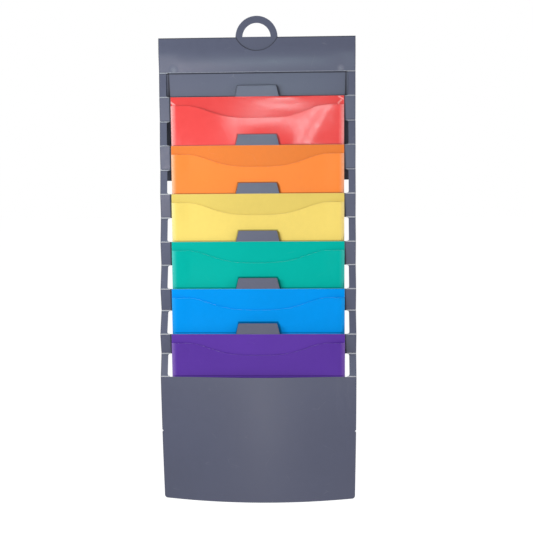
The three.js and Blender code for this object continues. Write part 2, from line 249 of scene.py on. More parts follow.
class Tree:
    """The nodes of one material or world, with short ways to add and link them."""

    def __init__(self, owner):
        owner.use_nodes = True
        self.tree = owner.node_tree
        self.tree.nodes.clear()
        self.count = 0

    def put(self, socket, value):
        """Links a node's output to the socket, or sets a plain value on it."""
        if hasattr(value, "is_output"):
            self.tree.links.new(value, socket)
        else:
            socket.default_value = value

    def add(self, kind, settings=None, **inputs):
        """Adds a node. An underscore in the name of an input stands for a space."""
        made = self.tree.nodes.new(kind)
        made.location = (self.count * NODE_SPACING, 0)
        self.count += 1
        for name, value in (settings or {}).items():
            setattr(made, name, value)
        for name, value in inputs.items():
            self.put(made.inputs[name.replace("_", " ")], value)
        return made

    def maths(self, operation, first, second):
        made = self.add("ShaderNodeMath", {"operation": operation})
        self.put(made.inputs[0], first)
        self.put(made.inputs[1], second)
        return made.outputs[0]

    def plus(self, first, second, share):
        """The first value plus a share of the second."""
        return self.maths("ADD", first, self.maths("MULTIPLY", second, share))

    def remap(self, value, source, target=(0.0, 1.0)):
        """Carries a value from one range to another and keeps it inside."""
        made = self.add("ShaderNodeMapRange", {"clamp": True}, Value=value, From_Min=source[0],
                        From_Max=source[1], To_Min=target[0], To_Max=target[1])
        return made.outputs[0]

    def noise(self, vector, scale, detail, roughness):
        made = self.add("ShaderNodeTexNoise", Vector=vector, Scale=scale, Detail=detail,
                        Roughness=roughness)
        return made.outputs["Fac"]

    def stretched(self, vector, scale):
        made = self.add("ShaderNodeMapping", {"vector_type": "POINT"}, Vector=vector, Scale=scale)
        return made.outputs[0]

    def attribute(self, name):
        return self.add("ShaderNodeAttribute", {"attribute_name": name}).outputs["Fac"]

    def mix(self, share, first, second):
        made = self.add("ShaderNodeMix", {"data_type": "RGBA"})
        for place, value in zip(MIX_INPUTS, (share, first, second)):
            self.put(made.inputs[place], value)
        return made.outputs[MIX_RESULT]

    def plastic(self, tone, rough, normal, gloss):
        """Ends a material in the shader of a plastic surface."""
        shader = self.add("ShaderNodeBsdfPrincipled", Base_Color=tone, Roughness=rough,
                          Normal=normal, IOR=PLASTIC_IOR, Specular_IOR_Level=gloss)
        self.add("ShaderNodeOutputMaterial", Surface=shader.outputs[0])


def shade(colour, share):
    """The colour made darker, or brighter where the share is above 1."""
    return tuple(part * share for part in colour[:3]) + (1,)


def lighter(colour, paleness):
    """The colour carried part of the way to white."""
    return tuple(part + (1 - part) * paleness for part in colour[:3]) + (1,)


def scratches(tree, place):
    """Thin scuffs along cell edges, in scattered groups."""
    cells = tree.add("ShaderNodeTexVoronoi", {"feature": "DISTANCE_TO_EDGE"},
                     Vector=tree.stretched(place, SCRATCH_STRETCH), Scale=1.0).outputs["Distance"]
    groups = tree.noise(place, *SCRATCH_GROUP_NOISE)
    return tree.maths("MULTIPLY", tree.remap(cells, SCRATCH_RANGE, (1.0, 0.0)),
                      tree.remap(groups, SCRATCH_GROUP_RANGE))


def arc_strength(tree, place, arc):
    """How strong the painted shadow line inside an arc is. The arc is given by its centre and radius."""
    centre, radius = arc
    away = tree.add("ShaderNodeVectorMath", {"operation": "DISTANCE"})
    tree.put(away.inputs[0], place)
    tree.put(away.inputs[1], centre)
    return tree.remap(away.outputs["Value"], (radius - ARC_WIDTH, radius), (0.0, ARC_SHARE))


def sheet_material(name, colour, roughness, grain, whitening, gloss, stress_and_highlight=STRESS_WHITE, arc=None):
    """Extruded plastic sheet: mottled colour, fine rolled grain, light scuffs, whitened creases, a highlight
    painted on the pockets' folded bands, and painted shade lines where neighbouring parts cast shadows, one
    of them along an arc where one is given."""
    material = bpy.data.materials.new(name)
    tree = Tree(material)
    place = tree.add("ShaderNodeTexCoord").outputs["Object"]
    broad = tree.noise(place, *BROAD_NOISE)
    mottle = tree.noise(place, *MOTTLE_NOISE)
    fleck = tree.noise(place, *FLECK_NOISE)
    rolled = tree.noise(tree.stretched(place, ROLLED_STRETCH), *ROLLED_NOISE)
    scratch = scratches(tree, place)
    wear_and_highlight = tree.attribute("wear_and_highlight")
    painted_shade = tree.attribute("painted_shade")
    broken = tree.remap(tree.noise(place, *BREAK_NOISE), BREAK_RANGE, BREAK_SHARES)
    worn_and_highlit = tree.maths("MULTIPLY", tree.maths("MULTIPLY", wear_and_highlight, broken), whitening)

    tone = tree.mix(tree.remap(broad, BROAD_RANGE), *(shade(colour, share) for share in BROAD_SHADES))
    tone = tree.mix(tree.remap(mottle, MOTTLE_RANGE, (0.0, MOTTLE_SHARE)), tone, shade(colour, MOTTLE_SHADE))
    tone = tree.mix(tree.remap(fleck, FLECK_RANGE, (FLECK_SHARE, 0.0)), tone, shade(colour, FLECK_SHADE))
    tone = tree.mix(tree.maths("MULTIPLY", scratch, SCRATCH_SHARE), tone, stress_and_highlight)
    # Whitening towards the pale colour; on the pockets' front sheets this is the highlight painted on the
    # folded bands.
    tone = tree.mix(worn_and_highlit, tone, stress_and_highlight)
    # Painted shade: dark lines where neighbouring parts cast shadows.
    tone = tree.mix(tree.maths("MULTIPLY", painted_shade, PAINTED_SHADE_SHARE), tone, shade(colour, PAINTED_SHADE_TONE))
    # A painted shadow inside the arc.
    if arc:
        tone = tree.mix(arc_strength(tree, place, arc), tone, shade(colour, PAINTED_SHADE_TONE))

    rough = tree.remap(tree.plus(mottle, fleck, FLECK_IN_ROUGHNESS), ROUGHNESS_RANGE,
                       [roughness + change for change in ROUGHNESS_SPREAD])
    rough = tree.plus(rough, scratch, SCRATCH_ROUGHNESS)
    rough = tree.plus(rough, painted_shade, PAINTED_SHADE_ROUGHNESS)
    rough = tree.plus(rough, tree.maths("POWER", wear_and_highlight, WEAR_SPREAD), WEAR_ROUGHNESS)

    height = tree.plus(tree.maths("MULTIPLY", fleck, FLECK_HEIGHT), rolled, ROLLED_HEIGHT)
    height = tree.plus(height, scratch, SCRATCH_HEIGHT)
    grain_bump = tree.add("ShaderNodeBump", Strength=grain, Distance=GRAIN_DEPTH, Height=height)
    wave_bump = tree.add("ShaderNodeBump", Strength=WAVE_STRENGTH, Distance=WAVE_DEPTH,
                         Height=tree.noise(place, *WAVE_NOISE), Normal=grain_bump.outputs[0])
    tree.plastic(tone, rough, wave_bump.outputs[0], gloss)
    return material


def rim_material(name, colour):
    """The cut edge of a sheet, rougher and paler than its faces, with fine cutting lines."""
    material = bpy.data.materials.new(name)
    tree = Tree(material)
    place = tree.add("ShaderNodeTexCoord").outputs["Object"]
    cut_lines = tree.noise(tree.stretched(place, CUT_STRETCH), *CUT_NOISE)
    patch = tree.noise(place, *PATCH_NOISE)
    tone = tree.mix(tree.remap(patch, PATCH_RANGE), *(shade(colour, share) for share in PATCH_SHADES))
    tone = tree.mix(tree.remap(cut_lines, CUT_RANGE, (0.0, CUT_SHARE)), tone, STRESS_WHITE)
    bump = tree.add("ShaderNodeBump", Strength=CUT_STRENGTH, Distance=CUT_DEPTH, Height=cut_lines)
    rough = tree.remap(patch, RIM_ROUGHNESS_RANGE, RIM_ROUGHNESS)
    tree.plastic(tone, rough, bump.outputs[0], RIM_GLOSS)
    return material


def pocket_materials(colour_name):
    """Face and rim of a pocket's front sheet, and face and rim of its back sheet."""
    front_colour = FRONT_COLOURS[colour_name]
    highlight_and_scuff_colour = BAND_HIGHLIGHT_AND_SCUFF_COLOURS[colour_name]
    finish = {"roughness": POCKET_ROUGHNESS.get(colour_name, USUAL_ROUGHNESS), "grain": POCKET_GRAIN,
              "gloss": POCKET_GLOSS[colour_name]}
    front_face = sheet_material(f"{colour_name}_sheet_face", front_colour, whitening=FRONT_BAND_HIGHLIGHT,
                                stress_and_highlight=highlight_and_scuff_colour, **finish)
    # The back sheet is a copy of the front colour with painted shade, lighter for purple.
    back_face = sheet_material(f"{colour_name}_sheet_behind", shade(front_colour, BACK_SHADE_SHARE[colour_name]),
                               whitening=BACK_WHITENING, stress_and_highlight=lighter(highlight_and_scuff_colour, BACK_CREASE_PALENESS),
                               **finish)
    back_rim = rim_material(f"{colour_name}_sheet_rim", lighter(front_colour, POCKET_RIM_PALENESS))
    front_rim = rim_material(f"{colour_name}_scoop_rim", lighter(highlight_and_scuff_colour, SCOOP_RIM_PALENESS))
    return (front_face, front_rim), (back_face, back_rim)


grey_materials = (sheet_material("grey_sheet_face", GREY, **GREY_FINISH),
                  rim_material("grey_sheet_rim", lighter(GREY, GREY_RIM_PALENESS)))
scoop_arc = ((0, 0, HEADER_TOP - SCOOP_DEPTH + SCOOP_RADIUS), SCOOP_RADIUS)
hanger_materials = (sheet_material("hanger_face", HANGER_GREY, arc=scoop_arc, **HANGER_FINISH),
                    rim_material("hanger_rim", lighter(HANGER_GREY, HANGER_RIM_PALENESS)))
materials_of_pocket = {colour_name: pocket_materials(colour_name) for colour_name in COLOURS}


# Making of a piece

def smooth_step(value, low, high):
    """0 up to the low value, 1 from the high one on, and a soft rise between them."""
    share = min(1.0, max(0.0, (value - low) / (high - low)))
    return share * share * (3 - 2 * share)


def between(pair, share):
    """The value at this share of the way from the first to the second."""
    return pair[0] + (pair[1] - pair[0]) * share


def steps_between(low, high, step):
    """Even steps of about this length between two places, without the places themselves."""
    count = max(1, round((high - low) / step))
    return [low + (high - low) * n / count for n in range(1, count)]


def spaced(origin, step, first, last):
    """Places at whole steps from the origin, from the first step to the last."""
    return [origin + step * n for n in range(first, last + 1)]


def around(middle, reach, count):
    """Places in even steps over the reach on both sides of the middle."""
    return spaced(middle, reach / count, -count, count)


def mirrored(places):
    """The same places on the left and on the right."""
    return [side * place for side in (-1, 1) for place in places]


def side_rim(face):
    return abs(face.normal.x) > RIM_FACING


def flat_rim(face):
    return abs(face.normal.y) < RIM_FACING


def cut(bm, axis, places):
    """Cuts every face at the planes at these places along the axis."""
    direction = Vector((0, 0, 0))
    direction[axis] = 1
    for place in places:
        point = Vector((0, 0, 0))
        point[axis] = place
        everything = bm.verts[:] + bm.edges[:] + bm.faces[:]
        bmesh.ops.bisect_plane(bm, geom=everything, dist=SAME_POINT, plane_co=point, plane_no=direction)


def refine(mesh, low, high, step, extra_x, extra_z, is_rim):
    """The mesh for editing, with its flat triangles joined, cut into a grid and sorted into face and rim."""
    bm = bmesh.new()
    bm.from_mesh(mesh)
    bmesh.ops.remove_doubles(bm, verts=bm.verts, dist=SAME_POINT)
    bmesh.ops.dissolve_limit(bm, angle_limit=FLAT_ANGLE, verts=bm.verts, edges=bm.edges)
    cut(bm, X_AXIS, steps_between(low.x, high.x, step) + list(extra_x))
    cut(bm, Z_AXIS, steps_between(low.z, high.z, step) + list(extra_z))
    bm.normal_update()
    for face in bm.faces:
        face.smooth = True
        face.material_index = RIM_INDEX if is_rim(face) else FACE_INDEX
    return bm


def soften(piece, width):
    """Rounds the piece's sharp edges and gives the rounding the rim's material."""
    bevel = piece.modifiers.new("soft_edge", "BEVEL")
    bevel.width = width
    bevel.segments = RIM_SEGMENTS
    bevel.limit_method = "ANGLE"
    bevel.angle_limit = RIM_ANGLE
    bevel.harden_normals = True
    bevel.material = RIM_INDEX


def dressed(node, name, body, materials, shift=None, wear_and_highlight=None, painted_shade=None, is_rim=flat_rim, extra_x=(),
            extra_z=(), step=GRID_STEP, rim=RIM_WIDTH):
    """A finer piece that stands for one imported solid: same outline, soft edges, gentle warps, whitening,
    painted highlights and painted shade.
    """
    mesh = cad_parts[node].data.copy()
    mesh.name = name
    bm = refine(mesh, *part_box(node), step, extra_x, extra_z, is_rim)
    # Per-vertex values for the whitening, which carries the painted highlight on the pockets' bands, and for
    # the painted shade.
    for label, amount in (("wear_and_highlight", wear_and_highlight), ("painted_shade", painted_shade)):
        layer = bm.verts.layers.float.new(label)
        for vertex in bm.verts:
            vertex[layer] = amount(vertex.co) if amount else 0.0
    if shift:
        for vertex in bm.verts:
            vertex.co += shift(vertex.co)
    for edge in bm.edges:
        if len(edge.link_faces) == 2 and edge.calc_face_angle() > SMOOTH_ANGLE:
            edge.smooth = False
    bm.to_mesh(mesh)
    bm.free()
    mesh.materials.clear()
    for material in materials:
        mesh.materials.append(material)
    piece = bpy.data.objects.new(name, mesh)
    bpy.context.scene.collection.objects.link(piece)
    soften(piece, rim)
    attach(piece, body)
    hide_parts(node)


def crease_wear(places, middle=0.0):
    """Whitening that fades away from the creases at these heights, weaker between the strips."""
    def wear_and_highlight(point):
        near = min(abs(point.z - place) for place in places)
        strength = 1.0 if abs(point.x) > STRIP_INNER - CORNER_RADIUS else middle
        strength *= 1 - LOW_CREASE_LOSS * smooth_step(-point.z, *LOW_CREASES)
        return strength * (1.0 - smooth_step(near, CREASE_REACH, WEAR_REACH))
    return wear_and_highlight


def crease_cuts(places):
    reaches = (CREASE_REACH, WEAR_REACH)
    return [place + side * reach for place in places for side in (-1, 1) for reach in reaches]


# Painted shade lines, and dark lines along the outer edges. A core is the share of a line's width that
# stays at full strength.
SHADE_LINE_CORE = 0.25
# A faint dark line along the outer edges: the distances from the edge where it is full and where it is gone,
# and its strength.
EDGE_LINE = (0.4 * MILLIMETRE, 1.9 * MILLIMETRE)
EDGE_LINE_SHARE = 0.55
EDGE_CUTS = mirrored(spaced(HALF_WIDTH, -EDGE_LINE[1] / 4, 1, 4))
# Painted shadow around a tab: its shape, the line's usual width and that on the right, and the drop over
# which it widens.
TAB_TOP_HALF = 36 * MILLIMETRE
TAB_SLANT = 0.225
TAB_SHADOW = (2.0 * MILLIMETRE, 5.0 * MILLIMETRE)
TAB_SHADOW_CORE = 0.3
TAB_SHADOW_SHARE = 0.75
TAB_SHADOW_WIDENS = (0.0, 4 * MILLIMETRE)
TAB_SIDE_CUTS = mirrored(spaced(TAB_TOP_HALF, 1.2 * MILLIMETRE, -1, 7))
# A painted shadow line along the top edge of a sheet that lies on another: the line's reach and how far
# above the edge it runs.
TOP_EDGE_SHADOW = 1.3 * MILLIMETRE
TOP_EDGE_SHADOW_RISE = 1.3 * MILLIMETRE


def painted_shade_line(away, width):
    """A painted shade line that is strongest in its middle and fades over its width."""
    return 1.0 - smooth_step(abs(away), SHADE_LINE_CORE * width, width)


def edge_dark_line(point):
    """A faint dark line along the outer edges."""
    return EDGE_LINE_SHARE * (1 - smooth_step(HALF_WIDTH - abs(point.x), *EDGE_LINE))


def tab_shadow(point, tab_top):
    """A painted shadow just outside a tab, wider on its right."""
    above = point.z - tab_top
    beside = abs(point.x) - TAB_TOP_HALF + min(0.0, above) * TAB_SLANT
    away = max(above, beside)
    if away <= -TAB_SHADOW[0]:
        return 0.0
    reach = between(TAB_SHADOW, smooth_step(-above, *TAB_SHADOW_WIDENS) if point.x > 0 else 0.0)
    return TAB_SHADOW_SHARE * (1 - smooth_step(away, TAB_SHADOW_CORE * reach, reach))


def tab_top_cuts(tab_top):
    return around(tab_top, TAB_SHADOW[0], 3)


# Back cover and header. All of the header stands more than this far in front of the cover's rear face, and
# the top fold ends within this height.
HEADER_AHEAD = 2.2 * MILLIMETRE
TOP_FOLD_HEIGHT = 1.9 * MILLIMETRE
# The swell over the hanger. At its sides it is eased, to leave room for the folded strips.
HEADER_SWELL = 2.8 * MILLIMETRE
SWELL_SKEW = 1.25
SWELL_EASED = (0.125, STRIP_INNER - 1 * MILLIMETRE)
SWELL_BLEND = 6
FOLDED_STRIP_SLOPE = 0.080
SWELL_CUTS = steps_between(HEADER_FOOT, HEADER_TOP - 2 * MILLIMETRE, 3 * MILLIMETRE)
# The small arch in the middle of the header's foot. Both moves end a little below the foot.
BUMP_HALF = 7 * MILLIMETRE
BUMP_RISE = 0.9 * MILLIMETRE
BUMP_FROM = 0.9
HEADER_END = 1.2
BUMP_CUTS = around(0.0, BUMP_HALF, 4)
# Two whitened dents above the foot.
DENT_ACROSS = 0.154
DENT_RISE = 5 * MILLIMETRE
DENT_REACH = (0.5 * MILLIMETRE, 9 * MILLIMETRE)
DENT_SHARE = 0.28
DENT_CUTS = mirrored(around(DENT_ACROSS, 7.5 * MILLIMETRE, 3))
# The painted shade line of the top fold starts and is full this far below the top.
TOP_FOLD_SHADE = (2.6 * MILLIMETRE, 0.6 * MILLIMETRE)
TOP_FOLD_SHADE_SHARE = 0.85
TOP_FOLD_CUTS = [HEADER_TOP - down for down in (TOP_FOLD_SHADE[0], 1.6 * MILLIMETRE, 1.0 * MILLIMETRE)]
# Painted shadows on the cover: lines beside the strips, widening down each window, below the header's foot
# and above the first divider, and painted shade in the margins below the first window.
COVER_WINDOWS = 3
COVER_FACE_DEPTH = 0.4 * MILLIMETRE
FOOT_GAP = 0.2 * MILLIMETRE
SIDE_SHADOW = (1.2 * MILLIMETRE, 2.6 * MILLIMETRE)
SIDE_SHADOW_INSET = 0.3
SIDE_SHADOW_CUTS = mirrored(spaced(STRIP_INNER, -SIDE_SHADOW[0] / 2, -2, 6))
FOOT_SHADOW = 1.5 * MILLIMETRE
LEVEL_SHADOW_CUTS = (around(HEADER_FOOT - FOOT_SHADOW, FOOT_SHADOW, 4)
                  + around(STRIP_FEET[0] + TOP_EDGE_SHADOW_RISE, FOOT_SHADOW, 4))
# Painted shade in the cover's side margins below the first window.
MARGIN_SHADE = 0.85
MARGIN_TOP = (STRIP_FEET[0] - 4 * MILLIMETRE, STRIP_FEET[0] + 1 * MILLIMETRE)
MARGIN_REACH = (10 * MILLIMETRE, 22 * MILLIMETRE)


def on_header(point):
    return point.y < COVER_BACK - HEADER_AHEAD


def header_rim(face):
    in_fold = face.calc_center_median().z > HEADER_TOP - TOP_FOLD_HEIGHT
    return side_rim(face) if in_fold else flat_rim(face)


def header_wear(point):
    """Whitening along the header's foot and in two dents above it, and none on the back of the cover."""
    if not on_header(point):
        return 0.0
    dent = math.hypot(abs(point.x) - DENT_ACROSS, point.z - HEADER_FOOT - DENT_RISE)
    return max(crease_wear([HEADER_FOOT], HEADER_MIDDLE_WEAR)(point),
               DENT_SHARE * (1 - smooth_step(dent, *DENT_REACH)))


def strip_room(height):
    """How far the header may swell at its sides without meeting the folded strips."""
    return max(0.0, FOLDED_STRIP_SLOPE * (height - HEADER_FOOT))


def least_of(first, second):
    """The smaller of two lengths, with a soft change from one to the other."""
    if first <= 0 or second <= 0:
        return 0.0
    return first * second / (first ** SWELL_BLEND + second ** SWELL_BLEND) ** (1 / SWELL_BLEND)


def header_shift(point):
    """The header swells over the hanger, and its foot has a small arch in the middle."""
    drop = (HEADER_TOP - point.z) / (HEADER_TOP - HEADER_FOOT)
    move = Vector((0, 0, 0))
    if on_header(point) and 0 < drop < HEADER_END:
        swell = HEADER_SWELL * math.sin(math.pi * min(1.0, drop) ** SWELL_SKEW)
        eased = smooth_step(abs(point.x), *SWELL_EASED) * (swell - least_of(swell, strip_room(point.z)))
        move.y = eased - swell
        if drop > BUMP_FROM and abs(point.x) < BUMP_HALF:
            move.z = BUMP_RISE * math.cos(math.pi * point.x / (2 * BUMP_HALF)) ** 2
    return move


def cover_painted_shade(point):
    """Painted shade on the cover: shadow lines where the strips' inner edges, the header's foot, the first
    divider and its tab lie, painted shade in the side margins below the first window and along the top fold,
    and dark lines along the header's outer edges."""
    fold_from, fold_full = (HEADER_TOP - down for down in TOP_FOLD_SHADE)
    # A painted shade line along the top fold.
    if point.z > fold_from:
        return TOP_FOLD_SHADE_SHARE * smooth_step(point.z, fold_from, fold_full)
    if on_header(point) and point.z > HEADER_FOOT:
        return edge_dark_line(point)
    at_rear = point.y > COVER_BACK - COVER_FACE_DEPTH
    if on_header(point) or at_rear or point.z > HEADER_FOOT - FOOT_GAP:
        return 0.0
    inward = STRIP_INNER - abs(point.x)
    share = 0.0
    for top, foot in zip(STRIP_TOPS[:COVER_WINDOWS], STRIP_FEET[:COVER_WINDOWS]):
        if foot < point.z < top:
            share = (top - point.z) / (top - foot)
    reach = between(SIDE_SHADOW, share)
    # Painted shadow beside the strips.
    beside = painted_shade_line(inward - SIDE_SHADOW_INSET * reach, reach)
    # Painted shade in the side margins below the first window.
    margin = MARGIN_SHADE * (1 - smooth_step(point.z, *MARGIN_TOP)) * (1 - smooth_step(inward, *MARGIN_REACH))
    # Painted shadow around the first tab, and lines below the header's foot and above the first divider.
    level = tab_shadow(point, TAB_TOPS[0])
    if inward > -FOOT_SHADOW:
        level = max(level, painted_shade_line(point.z - HEADER_FOOT + FOOT_SHADOW, FOOT_SHADOW),
                    painted_shade_line(point.z - STRIP_FEET[0] - TOP_EDGE_SHADOW_RISE, TOP_EDGE_SHADOW))
    return max(level, margin, beside)


def dress_cover():
    dressed("back_cover", "back_cover_sheet", "cover", grey_materials,
            shift=header_shift, wear_and_highlight=header_wear, painted_shade=cover_painted_shade, is_rim=header_rim,
            extra_x=BUMP_CUTS + SIDE_SHADOW_CUTS + TAB_SIDE_CUTS + DENT_CUTS + EDGE_CUTS,
            extra_z=(crease_cuts([HEADER_FOOT]) + SWELL_CUTS + TOP_FOLD_CUTS + LEVEL_SHADOW_CUTS
                     + tab_top_cuts(TAB_TOPS[0])))


# Strips, dividers, front panel and hanger. Painted shade lines run beside the creases, and painted shadow
# lines on the dividers beside their pockets, where the widths at the top and the foot are given for the left
# and the right side.
CREASE_SHADE = 0.9 * MILLIMETRE
CREASE_SHADE_AWAY = 2.1 * MILLIMETRE
TOP_CREASE_SHADE = 0.6
FOOT_CREASE_SHADE = 0.3
# Painted shadow on the dividers beside their pockets.
POCKET_SIDE_SHADOW = ((3.8 * MILLIMETRE, 4.0 * MILLIMETRE), (2.2 * MILLIMETRE, 4.4 * MILLIMETRE))
POCKET_SIDE_CORE = 0.5
POCKET_SIDE_START = 1 * MILLIMETRE
POCKET_SIDE_CUTS = mirrored(spaced(POCKET_HALF, 0.6 * MILLIMETRE, -2, 8))
# How far each tab bends towards the viewer, as a share of its height.
TAB_BENDS = (0.045, -0.01, -0.04, -0.02, 0.02, 0.04)


def strip_painted_shade(top):
    """A painted shade line on a strip just below its top crease, and a dark line along its outer edge."""
    def painted_shade(point):
        return max(edge_dark_line(point), TOP_CREASE_SHADE * painted_shade_line(point.z - top + CREASE_SHADE_AWAY, CREASE_SHADE))
    return painted_shade


def divider_painted_shade(top, foot):
    """Painted shadow lines on a divider along the sides of its pocket and just above its foot's crease, and
    dark lines along its outer edges.
    """
    def painted_shade(point):
        reach = between(POCKET_SIDE_SHADOW[point.x > 0], smooth_step(top - point.z, 0, top - foot))
        beside = abs(point.x) - POCKET_HALF
        dark = 0.0
        if beside > -POCKET_SIDE_START:
            dark = 1 - smooth_step(beside, POCKET_SIDE_CORE * reach, reach)
        crease = FOOT_CREASE_SHADE * painted_shade_line(point.z - foot - CREASE_SHADE_AWAY, CREASE_SHADE)
        return max(dark, edge_dark_line(point), crease)
    return painted_shade


def tab_shift(divider_top, bend):
    """The tab above the divider bends a little to the front or rear."""
    def shift(point):
        rise = max(0.0, point.z - divider_top)
        return Vector((0, -bend * rise, 0))
    return shift


def crease_shade_cuts(middle):
    return around(middle, CREASE_SHADE, 2)


def dress_strips(number):
    """The left and the right strip of one window."""
    creases = (UPPER_CREASES[number - 1], LOWER_CREASES[number - 1])
    for side in ("left", "right"):
        dressed(f"side_strip_{number}_{side}", f"strip_{number}_{side}_sheet", f"strips_{number}",
                grey_materials, wear_and_highlight=crease_wear(creases), painted_shade=strip_painted_shade(creases[0]),
                is_rim=side_rim, extra_x=EDGE_CUTS,
                extra_z=crease_cuts(creases) + crease_shade_cuts(creases[0] - CREASE_SHADE_AWAY), step=FINE_STEP)


def dress_divider(number, colour_name):
    creases = (LOWER_CREASES[number - 1], UPPER_CREASES[number])
    dressed(f"divider_{number}", f"divider_{number}_sheet", f"{colour_name}_pocket",
            grey_materials, shift=tab_shift(creases[0], TAB_BENDS[number - 1]), wear_and_highlight=crease_wear(creases),
            painted_shade=divider_painted_shade(*creases), extra_x=POCKET_SIDE_CUTS + EDGE_CUTS,
            extra_z=crease_cuts(creases) + crease_shade_cuts(creases[1] + CREASE_SHADE_AWAY))


def dress_panel():
    creases = LOWER_CREASES[-1:]
    dressed("front_panel", "front_panel_sheet", "panel", grey_materials,
            wear_and_highlight=crease_wear(creases), painted_shade=edge_dark_line, extra_x=EDGE_CUTS, extra_z=crease_cuts(creases))


def dress_hanger():
    dressed("hanger", "hanger_plate", "hanger", hanger_materials, rim=HANGER_RIM_WIDTH)


# Pockets. Drops are measured down from the top of the back sheet.
POCKET_DEPTH = 5.2 * MILLIMETRE
FRONT_FACE_DEPTH = 2 * MILLIMETRE
# How strong the painted shadow line along the next sheet's top edge is.
NEXT_EDGE_SHADOW_SHARE = 0.5
# The side folds, which are a few flat facets in the imported part, and the highlight painted on their bands,
# weaker on the right.
FOLD_BAND = 9 * MILLIMETRE
FOLD_FACETS = 4
FLAT_HALF = POCKET_HALF - FOLD_BAND
QUARTER_TURN = math.pi / 2
BAND_START = -0.3
BAND_GROWTH = 1.5
RIGHT_HIGHLIGHT_SHARE = 0.7
FOLD_SHARES = [BAND_START] + [(n + 0.5) / FOLD_FACETS for n in range(FOLD_FACETS)]
FOLD_CUTS = mirrored([FLAT_HALF + share * FOLD_BAND for share in FOLD_SHARES])
# White creases in the red back sheet's top corners: side, and the two ends as millimetres inward and down.
CORNER_CREASES = (
    (-1, (0.5, 8.5), (9, 15)),
    (-1, (0.5, 10), (7, 15)),
    (1, (9.5, 1.5), (1, 6.5)),
    (1, (10.5, 13), (5, 8)),
)
CORNER_SHARE = 0.8
CORNER_REACH = (0.2 * MILLIMETRE, 1.8 * MILLIMETRE)
CORNER_STEPS = spaced(0.0, 1.3 * MILLIMETRE, 1, 10)
CORNER_CUTS = mirrored([POCKET_HALF - inward for inward in CORNER_STEPS])
# How far a back sheet swells forward near its top edge, and the drops where it stands out most and is flat.
BACK_SWELL = {
    "red": (0.9 * MILLIMETRE, 0.5 * MILLIMETRE, 22 * MILLIMETRE),
    "orange": (0.16 * MILLIMETRE, 8 * MILLIMETRE, 44 * MILLIMETRE),
}
NO_SWELL = (0.0, 1 * MILLIMETRE, 2 * MILLIMETRE)
SWELL_LEFT = (-0.020, 0.055)
SWELL_RIGHT = (0.060, 0.110)
SWELL_AGAIN = (18 * MILLIMETRE, 48 * MILLIMETRE)
# How far a front sheet sinks behind its scoop, and the drops where the sink and the valleys fade out.
SINK_SIDE = 28 * MILLIMETRE
SINK_FADE = (34 * MILLIMETRE, 100 * MILLIMETRE)
VALLEY_FADE = (60 * MILLIMETRE, 120 * MILLIMETRE)
LIP_SINK = {"red": 0.4 * MILLIMETRE}
USUAL_LIP_SINK = 3.6 * MILLIMETRE
# Soft valleys of the front sheets: place at the top, slant, width and depth.
VALLEYS = {
    "red": (),
    "orange": ((-0.060, 0.0, 0.050, 0.3 * MILLIMETRE), (0.075, 0.3, 0.045, 0.5 * MILLIMETRE)),
    "yellow": ((0.020, 0.2, 0.070, 0.5 * MILLIMETRE),),
    "green": ((-0.070, 0.0, 0.050, 0.3 * MILLIMETRE), (0.070, 0.2, 0.060, 0.3 * MILLIMETRE)),
    "blue": ((0.0, 0.1, 0.080, 0.4 * MILLIMETRE),),
    "purple": ((-0.090, 0.0, 0.040, 0.3 * MILLIMETRE), (0.060, 0.2, 0.070, 0.4 * MILLIMETRE)),
}
# The hollows of the red front: one under the lip, and a slope to the right that ends in a slanting step.
# The lip's levels are its drops in the middle and at its ends.
LIP_LEVELS = (38 * MILLIMETRE, 15 * MILLIMETRE)
LIP_HALF = 0.120
LIP_HOLLOW = 2.3 * MILLIMETRE
LIP_HOLLOW_BELOW = 9 * MILLIMETRE
LIP_HOLLOW_REACH = 30 * MILLIMETRE
LIP_HOLLOW_HALF = (0.010, 0.105)
LIP_HOLLOW_MIDDLE = 0.022
SLOPE = 0.042
SLOPE_START = 18 * MILLIMETRE
SLOPE_END = 85 * MILLIMETRE
SLOPE_ACROSS = (0.010, 0.075)
STEP_DEPTH = 1.15 * MILLIMETRE
STEP_TOP = 0.144
STEP_SLANT = 0.57
STEP_FALL = (-0.084, -0.026)
STEP_RISE = (-0.026, 0.004)


def fold_band_highlight(point):
    """A painted highlight, paler towards the outer edge of the folded bands at the sides and weaker on the
    right.
    """
    paleness = 1.0 if point.x < 0 else RIGHT_HIGHLIGHT_SHARE
    outward = smooth_step(abs(point.x), FLAT_HALF + BAND_START * FOLD_BAND, POCKET_HALF)
    return paleness * outward ** BAND_GROWTH


def round_fold(inward):
    """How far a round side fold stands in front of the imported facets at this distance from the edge."""
    share = inward / FOLD_BAND
    start = math.floor(share * FOLD_FACETS) / FOLD_FACETS
    ends = [math.sin(QUARTER_TURN * end) for end in (start, min(1.0, start + 1 / FOLD_FACETS))]
    facet = between(ends, (share - start) * FOLD_FACETS)
    return POCKET_DEPTH * (math.sin(QUARTER_TURN * share) - facet)


def corner_wear(top):
    """Short white creases in the top corners of a back sheet."""
    def wear_and_highlight(point):
        place = Vector((POCKET_HALF - abs(point.x), top - point.z))
        strength = 0.0
        for side, start, end in CORNER_CREASES:
            crease = (Vector(end) - Vector(start)) * MILLIMETRE
            away = place - Vector(start) * MILLIMETRE
            along = min(1.0, max(0.0, away.dot(crease) / crease.length_squared))
            if side * point.x > 0:
                near = 1 - smooth_step((away - along * crease).length, *CORNER_REACH)
                strength = max(strength, CORNER_SHARE * near)
        return strength
    return wear_and_highlight


